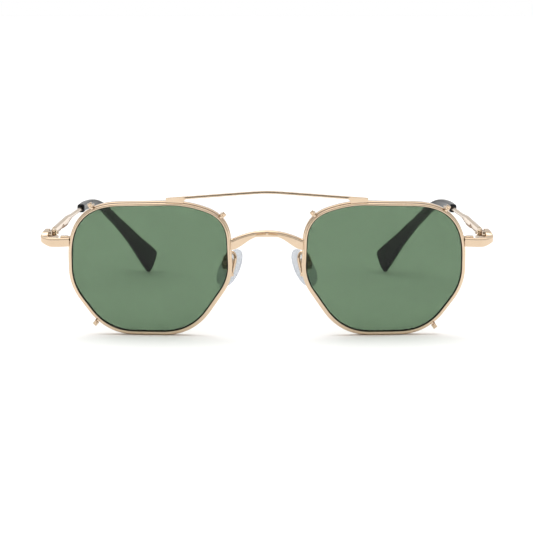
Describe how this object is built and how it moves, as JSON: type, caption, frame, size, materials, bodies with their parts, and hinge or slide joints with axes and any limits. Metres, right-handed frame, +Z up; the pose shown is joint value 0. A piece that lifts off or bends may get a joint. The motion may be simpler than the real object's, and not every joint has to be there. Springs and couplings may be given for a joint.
{
  "type": "aviator sunglasses",
  "caption": "Thin metal aviator frame with folding temples, adjustable nose pads and a green-lensed clip-on sun front held by claws.",
  "frame": {"origin": "on the surface the open sunglasses stand on, under the middle of their whole length, width and depth", "axes": "+X to the right of someone facing the front, +Y back along the open temples, +Z up"},
  "size_m": [0.1434, 0.1426, 0.0462],
  "materials": {
    "gold_metal": "polished champagne gold plating",
    "screw_steel": "fine machined",
    "clear_lens": "polished clear",
    "green_lens": "polished grey-green tint",
    "clear_pad": "clear, slightly blue at the edges",
    "black_tip": "glossy black sleeve"
  },
  "bodies": {
    "front": {"rim_left": "gold_metal", "clear_lens_left": "clear_lens", "end_piece_left": "gold_metal", "rim_lock_upper_left": "gold_metal", "rim_lock_lower_left": "gold_metal", "rim_screw_left": "screw_steel", "pad_arm_left": "gold_metal", "pad_cup_left": "gold_metal", "pad_screw_left": "screw_steel", "hinge_front_left": "gold_metal", "hinge_screw_left": "screw_steel", "rim_right": "gold_metal", "clear_lens_right": "clear_lens", "end_piece_right": "gold_metal", "rim_lock_upper_right": "gold_metal", "rim_lock_lower_right": "gold_metal", "rim_screw_right": "screw_steel", "pad_arm_right": "gold_metal", "pad_cup_right": "gold_metal", "pad_screw_right": "screw_steel", "hinge_front_right": "gold_metal", "hinge_screw_right": "screw_steel", "bridge": "gold_metal"},
    "clip_on": {"clip_rim_left": "gold_metal", "sun_lens_left": "green_lens", "claw_nasal_left": "gold_metal", "claw_temporal_left": "gold_metal", "claw_lower_left": "gold_metal", "clip_rim_right": "gold_metal", "sun_lens_right": "green_lens", "claw_nasal_right": "gold_metal", "claw_temporal_right": "gold_metal", "claw_lower_right": "gold_metal", "brow_bar": "gold_metal"},
    "temple_left": {"hinge_rear_left": "gold_metal", "temple_left": "gold_metal", "temple_tip_left": "black_tip"},
    "temple_right": {"hinge_rear_right": "gold_metal", "temple_right": "gold_metal", "temple_tip_right": "black_tip"},
    "nose_pad_left": {"nose_pad_left": "clear_pad"},
    "nose_pad_right": {"nose_pad_right": "clear_pad"}
  },
  "joints": [
    {"name": "temple_left_fold", "type": "hinge", "parent": "front", "child": "temple_left", "pos_m": [-0.0681, -0.05503, 0.031], "axis": [0, 0, -1], "range_deg": [0, 80]},
    {"name": "temple_right_fold", "type": "hinge", "parent": "front", "child": "temple_right", "pos_m": [0.0681, -0.05503, 0.031], "axis": [0, 0, 1], "range_deg": [0, 74]},
    {"name": "clip_on_pull", "type": "slide", "parent": "front", "child": "clip_on", "axis": [0, -1, 0], "range_m": [0, 0.03]},
    {"name": "nose_pad_left_tilt", "type": "hinge", "parent": "front", "child": "nose_pad_left", "pos_m": [-0.01202, -0.06302, 0.02226], "axis": [-0.6428, 0.6261, 0.4413], "range_deg": [-8, 8]},
    {"name": "nose_pad_right_tilt", "type": "hinge", "parent": "front", "child": "nose_pad_right", "pos_m": [0.01202, -0.06302, 0.02226], "axis": [-0.6428, -0.6261, -0.4413], "range_deg": [-8, 8]}
  ]
}
